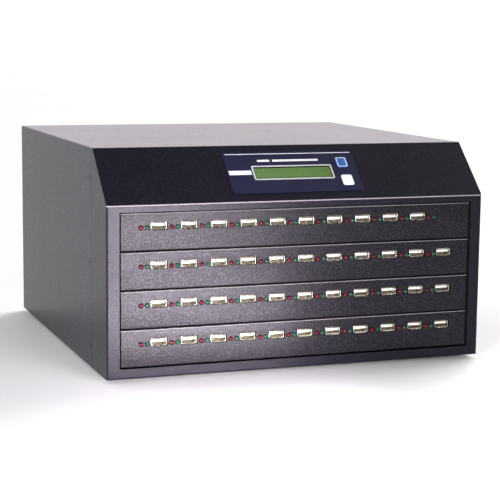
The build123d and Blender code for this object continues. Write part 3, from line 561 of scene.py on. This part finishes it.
fans = {  # middle across and up
    "case": (-92.0 * mm, 95.0 * mm),
    "supply": (60.0 * mm, 48.4 * mm),
}

for fan, (x, z) in fans.items():
    front = seat((x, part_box(f"{fan}_fan_rotor")[0].y, z), backward)
    rotor = bmesh.new()
    turned(rotor, cup_profile, cup_sides, front)
    for index in range(blade_count):
        before = set(rotor.verts)
        points = [rotor.verts.new((x, y, blade_start)) for x, y in blade_line]
        runs = [rotor.edges.new(pair) for pair in zip(points, points[1:])]
        bmesh.ops.spin(
            rotor,
            geom=points + runs,
            axis=(0, 0, 1),
            cent=(0, 0, 0),
            dvec=(0, 0, blade_rise / blade_steps),
            angle=blade_turn,
            steps=blade_steps,
            use_merge=False,
        )
        faces = list({face for vert in set(rotor.verts) - before for face in vert.link_faces})
        bmesh.ops.recalc_face_normals(rotor, faces=faces)
        bmesh.ops.solidify(rotor, geom=faces, thickness=blade_wall)
        share = Matrix.Rotation(index * full_turn / blade_count, 4, "Z")
        moved(rotor, before, front @ share)
    name = f"{fan}_fan_rotor"
    place_piece(rotor, f"swept_{name}", fan_plastic, f"{fan}_rotor", [name])

# Main board: a green board on posts on the floor of the tray, with its chips and pin headers.
# The copper tracks show as a lighter green under the solder mask.
solder_mask = Finish("solder_mask")
mask_lines = solder_mask.noise(1.6 * mm, detail=0.0, stretch=(0.12, 1, 1)) > 0.56
mask_rows = solder_mask.noise(1.6 * mm, detail=0.0, stretch=(1, 1, 0.12)) > 0.60
mask_cloud = solder_mask.noise(12 * mm)
mask_dark = (0.008, 0.085, 0.035)
mask_light = (0.012, 0.11, 0.045)
mask_on_copper = (0.02, 0.17, 0.07)
mask_ground = solder_mask.mix(mask_cloud, mask_dark, mask_light)
mask_tracks = (mask_lines + mask_rows).math("MINIMUM", 1.0)
mask_colour = solder_mask.mix(mask_tracks, mask_ground, mask_on_copper)
solder_mask.surface({"Base Color": mask_colour, "Roughness": 0.26 + 0.12 * mask_cloud})
chip_body = moulding("chip_body", (0.014, 0.014, 0.015), (0.022, 0.022, 0.023), 0.2 * mm, 0.55)
boards = ["main_board", "display_board", "key_board"] + [f"port_board_{k}" for k in range(1, 5)]
dress(solder_mask, "board_green", *boards)
dress(chip_body, "black_plastic", "board_chips", "board_headers", "key_switches")
dress(brass, "brass", "main_board_posts", "display_posts", "port_board_posts")

# Cables inside: grey flat ribbons from the port boards and the display to the main board, and a
# bundle of black leads from the supply.
ribbon = Finish("ribbon_cable")
conductor_pitch = 1.27 * mm
ribbon_phase = ribbon.along((1, 0, 0)) * (1 / conductor_pitch)
ribbon_crown = ribbon_phase.math("FRACT").math("PINGPONG", 0.5)
ribbon_groove_shade = (0.25, 0.25, 0.26)
ribbon_crown_highlight = (0.46, 0.46, 0.47)
# Painted highlight and painted shade: each conductor's crown is coloured lighter and the grooves
# between them darker.
ribbon_colour = ribbon.mix(2 * ribbon_crown, ribbon_groove_shade, ribbon_crown_highlight)
ribbon_bump = ribbon.node("Bump", None, Distance=0.4 * mm, Height=ribbon_crown)
ribbon_cloud = ribbon.noise(5 * mm)
ribbon.surface(
    {"Base Color": ribbon_colour, "Roughness": 0.45 + 0.1 * ribbon_cloud, "Normal": ribbon_bump}
)
leads = moulding("lead_bundle", (0.012, 0.012, 0.012), (0.03, 0.028, 0.026), 1.2 * mm, 0.45)
dress(ribbon, "ribbon_grey", "ribbon_cables", "display_ribbon")
dress(leads, "lead_bundle", "power_harness")

# Rails: two upright channels of coated sheet steel, inside the front on the left and right.
# They carry the ends of the port panels.
dress(case_coat, "case_paint", "left_rail", "right_rail")

# Sockets: nickel-plated steel shells, folded round and open to the front, with a soft front edge
# and flared lips above and below the mouth. Each holds a white moulded tongue with four gilt
# contacts on its underside, and a block at the back, painted darker than the tongue as painted
# shade deep in the socket.
nickel = plating("nickel_plate", (0.46, 0.44, 0.35), (0.64, 0.61, 0.50), 0.20)
white_moulding = moulding("white_moulding", (0.72, 0.71, 0.63), (0.82, 0.81, 0.74), 0.3 * mm, 0.35)
# The block is given a darker tone than the tongue: painted shade for the depth of the socket.
block_painted_shade = moulding("shaded_block", (0.24, 0.23, 0.19), (0.30, 0.29, 0.24), 0.3 * mm, 0.5)
gold = plating("gold_contacts", (0.80, 0.55, 0.18), (0.92, 0.70, 0.30), 0.2)
port_pitch = 25.4 * mm
port_columns = 11
first_port_x = -122.6 * mm
port_drop = 10.7 * mm  # below the top edge of its panel
shell_wall = 0.35 * mm
shell_corner = 0.9 * mm
shell_steps = 4
shell_lip = 0.12 * mm
flare_width = 10.4 * mm
flare_reach = 0.85 * mm
flare_wall = 0.3 * mm
flare_turn = math.radians(-35)
tongue_size = (11.1 * mm, 1.84 * mm)
tongue_rise = 0.75 * mm
tongue_nose = 0.5 * mm
block_depth = 3.4 * mm
block_gap = 0.05 * mm  # between the block and its shell, above and below
tongue_root = 2.4 * mm  # where the tongue starts, inside the block
contact_size = (1.0 * mm, 0.16 * mm)
contact_steps = (-3.5 * mm, -1.0 * mm, 1.0 * mm, 3.5 * mm)
contact_setback = 0.9 * mm  # from the end of the tongue
forward = (0, -1, 0)
rows = range(1, 5)
row_heights = [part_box(f"port_panel_{row}")[1].z - port_drop for row in rows]
row_columns = [port_columns - 1] + [port_columns] * 3  # the top row has one socket fewer

for row, height, columns in zip(rows, row_heights, row_columns):
    shifts = [(column * port_pitch, 0, 0) for column in range(1, columns)]
    name = f"usb_shells_row_{row}"
    low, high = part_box(name)
    length = high.y - low.y
    size = Vector((high.x - low.x - (columns - 1) * port_pitch, high.z - low.z))
    inner_size = size - 2 * Vector((shell_wall, shell_wall))
    shell = bmesh.new()
    edges = outline(shell, size, shell_corner, steps=shell_steps)
    edges += outline(shell, inner_size, shell_corner - shell_wall, steps=shell_steps)
    band(shell, edges, length, Matrix(), set())
    lips = [
        edge
        for edge in shell.edges
        if all(vert.co.z > length - shell_lip / 2 for vert in edge.verts)
        and edge.calc_face_angle(0) > smooth_limit
    ]
    soften(shell, lips, shell_lip)
    for side in (-1, 1):
        before = set(shell.verts)
        root = Matrix.Translation((0, side * (size.y / 2 - flare_wall), length - flare_wall))
        root @= Matrix.Rotation(-side * flare_turn, 4, "X")
        flare_middle = Matrix.Translation((0, side * flare_reach / 2, 0))
        plate(shell, (flare_width, flare_reach), flare_wall, root @ flare_middle)
    moved(shell, set(), seat((first_port_x, high.y, height), forward))
    copies(shell, shell.verts[:], shifts)
    place_piece(shell, f"pressed_{name}", nickel, replaced=[name])

    name = f"usb_cores_row_{row}"
    low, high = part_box(name)
    length = high.y - low.y
    core = bmesh.new()
    tongue_seat = seat((first_port_x, high.y - tongue_root, height + tongue_rise), forward)
    plate(core, tongue_size, length - tongue_root, tongue_seat, softened=tongue_nose)
    copies(core, core.verts[:], shifts)
    place_piece(core, f"moulded_{name}", white_moulding, replaced=[name])
    block = bmesh.new()
    block_seat = seat((first_port_x, high.y, (low.z + high.z) / 2), forward)
    block_height = high.z - low.z - 2 * block_gap
    plate(block, (tongue_size[0], block_height), block_depth, block_seat)
    copies(block, block.verts[:], shifts)
    place_piece(block, f"port_blocks_row_{row}", block_painted_shade)

    contacts = bmesh.new()
    contact_z = height + tongue_rise - tongue_size[1] / 2
    contact_length = length - block_depth - contact_setback
    for step in contact_steps:
        contact_seat = seat((first_port_x + step, high.y - block_depth, contact_z), forward)
        plate(contacts, contact_size, contact_length, contact_seat)
    copies(contacts, contacts.verts[:], shifts)
    place_piece(contacts, f"contacts_row_{row}", gold)

# Lamps: round lenses of tinted plastic, red and green side by side, left of every socket.
# Each has a domed nose that stands just proud of its panel.
lamp_radius = 1.65 * mm
lamp_dome = 1.1 * mm
lamp_sides = 16
lamp_steps = 5
lamp_drop = 1.2 * mm  # below the middle of the sockets
lamp_offsets = {"green": -9.8 * mm, "red": -14.88 * mm}
lamp_tones = {
    "red": ((0.070, 0.002, 0.006), (0.120, 0.004, 0.012)),
    "green": ((0.006, 0.050, 0.034), (0.012, 0.085, 0.058)),
}
lamp_arc = [k * math.pi / 2 / lamp_steps for k in range(lamp_steps)]
for hue, offset in lamp_offsets.items():
    low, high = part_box(f"{hue}_lamps")
    lens = Finish(f"{hue}_lens")
    lens_cloud = lens.noise(4 * mm)
    lens.surface(
        {
            "Base Color": lens.mix(lens_cloud, *lamp_tones[hue]),
            "Roughness": 0.16 + 0.1 * lens_cloud,
            "IOR": 1.33,
        }
    )
    barrel = high.y - low.y - lamp_dome
    nose = [(lamp_radius * math.cos(a), barrel + lamp_dome * math.sin(a)) for a in lamp_arc]
    profile = [(0, 0), (lamp_radius, 0), *nose, (0, barrel + lamp_dome)]
    lamps = bmesh.new()
    first_seat = seat((first_port_x + offset, high.y, row_heights[0] - lamp_drop), forward)
    lamp = turned(lamps, profile, lamp_sides, first_seat)
    shifts = [
        (column * port_pitch, 0, height - row_heights[0])
        for height in row_heights
        for column in range(port_columns)
    ]
    copies(lamps, lamp, shifts[1:])
    place_piece(lamps, f"domed_{hue}_lamps", lens, replaced=[f"{hue}_lamps"])

# Port panels: four shallow pans of coated steel, one above the other, with rolled edges.
# Each has a punched opening for every socket and a round hole for every lamp.
panel_tone = (0.0042, 0.0031, 0.0064)
panel_fleck = (0.046, 0.041, 0.051)
panel_worn = (42.5 * mm, 31.4 * mm, 0.7 * mm)  # painted highlight along the top of each panel
panel_grain = 1.35 * mm
panel_relief = 0.24 * mm
panel_coat = powder_coat(
    "panel_powder_coat", panel_tone, panel_fleck, panel_grain, panel_relief, panel_worn
)
panel_sheet = 1.0 * mm
panel_roll = 0.8 * mm
panel_play = Vector((0.5, 0.25)) * mm  # each side, so that a pan slides in
panel_roll_steps = 4
port_opening = (14.3 * mm, 7.1 * mm)
port_opening_corner = 0.5 * mm
lamp_hole = 2.1 * mm

for row, height, columns in zip(rows, row_heights, row_columns):
    name = f"port_panel_{row}"
    low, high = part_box(name)
    middle = (low.z + high.z) / 2
    pan = bmesh.new()
    flat = Vector((high.x - low.x - 2 * panel_roll, high.z - low.z - 2 * panel_roll))
    rim = outline(pan, flat - 2 * panel_play)
    openings = []
    for column in range(port_columns):
        x = first_port_x + column * port_pitch
        if column < columns:
            openings += outline(pan, port_opening, port_opening_corner, (x, height - middle))
        for offset in lamp_offsets.values():
            openings += round_outline(pan, lamp_hole, (x + offset, height - middle - lamp_drop))
    bmesh.ops.triangle_fill(pan, use_beauty=True, edges=rim + openings, normal=(0, 0, 1))
    # The rim rolls back through a quarter circle, then runs straight as a flange
    arc = [k * math.pi / 2 / panel_roll_steps for k in range(1, panel_roll_steps + 1)]
    stages = [(panel_roll * math.sin(a), panel_roll * (1 - math.cos(a))) for a in arc]
    stages.append((panel_roll, high.y - low.y))
    out, back = 0.0, 0.0
    for next_out, next_back in stages:
        made = bmesh.ops.extrude_edge_only(pan, edges=rim)["geom"]
        rim = [item for item in made if isinstance(item, bmesh.types.BMEdge)]
        for vert in {vert for edge in rim for vert in edge.verts}:
            vert.co.x += math.copysign(next_out - out, vert.co.x)
            vert.co.y += math.copysign(next_out - out, vert.co.y)
            vert.co.z -= next_back - back
        out, back = next_out, next_back
    bmesh.ops.recalc_face_normals(pan, faces=pan.faces)
    bmesh.ops.solidify(pan, geom=pan.faces, thickness=panel_sheet)
    moved(pan, set(), seat((0, low.y, middle), forward))
    place_piece(pan, f"folded_{name}", panel_coat, replaced=[name])

# Front housing: a folded steel frame with a sloped top, coated as the tray is.
# The display and its two keys are let into the slope, under a printed film.
slope_place = Vector((0, -166.0, 143.0)) * mm  # the foot of the slope
slope_run = 44.5
slope_rise = 42.4
slope_up = Vector((0, slope_run, slope_rise)).normalized()
slope_seat = seat(slope_place, (0, -slope_rise, slope_run), slope_up)
dress(case_coat, "case_paint", "front_bezel")

# Display: a green liquid-crystal glass in a dark steel surround, behind a clear pane.
# Faint rows of character cells show in the glass.
display_metal = moulding("display_metal", (0.012, 0.012, 0.013), (0.02, 0.02, 0.022), 0.6 * mm, 0.4)
dress(display_metal, "display_metal", "display_frame")
cell_width = 4.1 * mm
cell_height = 6.3 * mm
cell_share = 0.84  # of a cell's width and height
cell_left = -36.9 * mm
cell_foot = 24.1 * mm
crystal = Finish("liquid_crystal")
cell_x = (crystal.along((1, 0, 0)) - cell_left) * (1 / cell_width)
cell_z = (crystal.along(slope_up) - (slope_place.dot(slope_up) + cell_foot)) * (1 / cell_height)
cells = (cell_x.math("FRACT") < cell_share) * (cell_z.math("FRACT") < cell_share)
crystal_cloud = crystal.noise(18 * mm)
crystal_dark = (0.098, 0.185, 0.046)
crystal_light = (0.116, 0.212, 0.058)
cell_tone = (0.045, 0.090, 0.030)
cell_strength = 0.10
crystal_ground = crystal.mix(crystal_cloud, crystal_dark, crystal_light)
crystal_colour = crystal.mix(cell_strength * cells, crystal_ground, cell_tone)
crystal.surface({"Base Color": crystal_colour, "Roughness": 0.3 + 0.05 * crystal_cloud, "IOR": 1.2})
dress(crystal, "display_green", "display_glass")
pane = Finish("clear_pane")
pane_haze = pane.noise(25 * mm)
pane.surface(
    {
        "Base Color": (0.06, 0.065, 0.06, 1),
        "Roughness": 0.04 + 0.05 * pane_haze,
        "Alpha": 0.05 + 0.04 * pane_haze,
        "IOR": 1.2,
    }
)
dress(pane, "clear_window", "display_window")

# Label: a dark blue polyester film with rounded corners, stuck over the slope.
# On it are a fine line, a pale strip, a silver line round the window and two plain bars.
film = moulding("label_film", (0.006, 0.007, 0.024), (0.010, 0.011, 0.032), 0.25 * mm, 0.34, 0.35)
film.surface({"IOR": 1.33})
dress(film, "label_film", "control_label")
silver_ink = moulding("silver_ink", (0.34, 0.35, 0.36), (0.46, 0.47, 0.48), 0.3 * mm, 0.35, 0.1)
label_top = 0.4 * mm
window_size = Vector((69.2, 12.9)) * mm
window_centre = 30.5 * mm
window_line = Vector((1.3, 1.3)) * mm
window_corner = 1.4 * mm
window_inner_corner = 0.3 * mm
label_prints = {  # middle across the slope and up it, width and height, in millimetres
    "label_line": (0.5, 51.2, 113.0, 0.7),
    "label_strip": (-46.9, 31.0, 19.6, 4.6),
    "short_title_bar": (-23.5, 43.6, 11.0, 2.2),
    "long_title_bar": (5.0, 43.6, 41.0, 2.2),
}


def on_slope(x, up, rise):
    """The seat of a flat thing on the slope."""
    return slope_seat @ Matrix.Translation((x, up, rise))


for name, print_sizes in label_prints.items():
    x, up, width, height = Vector(print_sizes) * mm
    ink = bmesh.new()
    plate(ink, (width, height), ink_depth, on_slope(x, up, label_top))
    place_piece(ink, name, ink_white)

ink = bmesh.new()
edges = outline(ink, window_size + 2 * window_line, window_corner)
edges += outline(ink, window_size, window_inner_corner)
band(ink, edges, ink_depth, on_slope(0, window_centre, label_top), set())
place_piece(ink, "window_line", silver_ink)

# Keys: two moulded caps with soft edges, each on a flange under the slope and a short stem.
# One is blue with a pale border, the other white.
key_x = 46.3 * mm
key_size = Vector((9.6, 10.9)) * mm
key_corner = 1.4 * mm
key_top = 1.1 * mm
key_soft = 0.4 * mm
flange_top = -1.4 * mm
flange_foot = -2.4 * mm
flange_margin = Vector((1.0, 1.0)) * mm
stem_radius = 1.5 * mm
stem_length = 3.2 * mm
stem_sides = 20
stem_profile = [(0, 0), (stem_radius, 0), (stem_radius, -stem_length), (0, -stem_length)]
keys = {  # middle up the slope, slot, and the two tones of the plastic
    "set": (40.0 * mm, "key_blue", (0.012, 0.075, 0.27), (0.018, 0.10, 0.34)),
    "scroll": (20.5 * mm, "key_white", (0.60, 0.61, 0.62), (0.70, 0.71, 0.72)),
}
for key, (up, slot, dark, light) in keys.items():
    cap = bmesh.new()
    cap_seat = on_slope(key_x, up, flange_top)
    plate(cap, key_size, key_top - flange_top, cap_seat, key_corner, key_soft)
    flange_seat = on_slope(key_x, up, flange_foot)
    plate(cap, key_size + 2 * flange_margin, flange_top - flange_foot, flange_seat, key_corner)
    turned(cap, stem_profile, stem_sides, flange_seat)
    plastic = moulding(f"{key}_key_plastic", dark, light, 0.4 * mm, 0.3)
    place_piece(cap, f"{key}_key_cap", plastic, f"{key}_key", [f"{key}_button"])

border_margin = Vector((0.45, 0.45)) * mm
border_line = Vector((0.65, 0.65)) * mm
border_corner = 1.1 * mm
border_inner_corner = 0.6 * mm
border_size = key_size - 2 * border_margin
border = bmesh.new()
edges = outline(border, border_size, border_corner)
edges += outline(border, border_size - 2 * border_line, border_inner_corner)
band(border, edges, ink_depth, on_slope(key_x, keys["set"][0], key_top), set())
place_piece(border, "set_key_border", ink_white, "set_key")

# Top cover: the top and both sides in one folded sheet, with a lip folded in at the back.
# It is coated as the front is, and slides on over the tray from behind.
dress(case_coat, "case_paint", "top_cover")

# Screws: steel, with a cross recess. Those in the back wall have pan heads, blackened on the
# case and zinc-plated on the supply. Those in the sides of the cover are black, and sunk flush
# in their seats.
black_steel = plating("black_screw_steel", (0.03, 0.03, 0.032), (0.06, 0.06, 0.064), 0.3)
zinc_steel = plating("zinc_screw_steel", (0.42, 0.43, 0.44), (0.62, 0.63, 0.64), 0.3)
thread_radius = 1.5 * mm
screw_sides = 24
recess_reach = 1.5 * mm
recess_half_width = 0.42 * mm
recess_depth = 0.9 * mm
pan_head = [(1, 0), (1, 0.35), (0.93, 0.7), (0.8, 0.92), (0.66, 1)]  # shares of radius and height
sunk_head = [(1, 0.93), (0.96, 1), (0.66, 1)]


def screw(bm, at, curve, radius, height, grip):
    """A head with a cross recess, its foot on the XY plane of a place, and its shank below."""
    before = set(bm.verts)
    shank = [(0, -grip), (thread_radius, -grip), (thread_radius, 0)]
    turned(bm, shank + [(radius * r, height * h) for r, h in curve], screw_sides, Matrix())
    new_edges = {edge for vert in set(bm.verts) - before for edge in vert.link_edges}
    crown = [edge for edge in new_edges if edge.is_boundary]
    lift = Matrix.Translation((0, 0, height))
    made = bmesh.ops.create_grid(bm, x_segments=3, y_segments=3, size=recess_reach, matrix=lift)
    for vert in made["verts"]:
        for axis in (0, 1):
            if abs(vert.co[axis]) < recess_reach / 2:
                vert.co[axis] = math.copysign(recess_half_width, vert.co[axis])
    squares = list({face for vert in made["verts"] for face in vert.link_faces})
    arms, corners = [], []
    for face in squares:
        middle = face.calc_center_median()
        (corners if min(abs(middle.x), abs(middle.y)) > recess_half_width else arms).append(face)
    bmesh.ops.delete(bm, geom=corners, context="FACES")
    rim = [edge for face in arms for edge in face.edges if edge.is_boundary]
    raised(bm, arms, -recess_depth)
    bmesh.ops.delete(bm, geom=arms, context="FACES")
    bmesh.ops.triangle_fill(bm, use_beauty=True, edges=crown + rim, normal=(0, 0, 1))
    moved(bm, before, at)


def screw_group(name, node, places, size, curve, finish, slot):
    """All the screws of one CAD node: places are in millimetres, with the way each head faces."""
    group = bmesh.new()
    for place, out in places:
        screw(group, seat(Vector(place) * mm, out), curve, *(part * mm for part in size))
    place_piece(group, name, finish, replaced=[node])


sunk_black = (sunk_head, black_steel, "black_screw")
pan_black = (pan_head, black_steel, "black_screw")
pan_zinc = (pan_head, zinc_steel, "zinc_steel")
side_screw = (2.6, 1.2, 2.2)  # radius and height of the head, and grip, in millimetres
back_screw = (2.9, 1.8, 4.4)
fan_screw = (2.9, 1.8, 9.0)
supply_screw = (2.9, 1.8, 3.2)
ends = (-1, 1)
side_places = [((164.8 * i, -112.2, z), (i, 0, 0)) for i in ends for z in (21, 91, 161)]
back_places = [((159.8 * i, 166.0, z), backward) for i in ends for z in (63, 143)]
fan_places = [((35.75 * i - 92, 164.8, 35.75 * k + 95), backward) for i in ends for k in ends]
supply_places = [((69 * i + 82, 164.8, 37 * k + 48.4), backward) for i in ends for k in ends]
screw_group("side_screws", "cover_side_screws", side_places, side_screw, *sunk_black)
screw_group("back_screws", "cover_back_screws", back_places, back_screw, *pan_black)
screw_group("case_fan_screws", "fan_screws", fan_places, fan_screw, *pan_black)
screw_group("supply_face_screws", "supply_screws", supply_places, supply_screw, *pan_zinc)
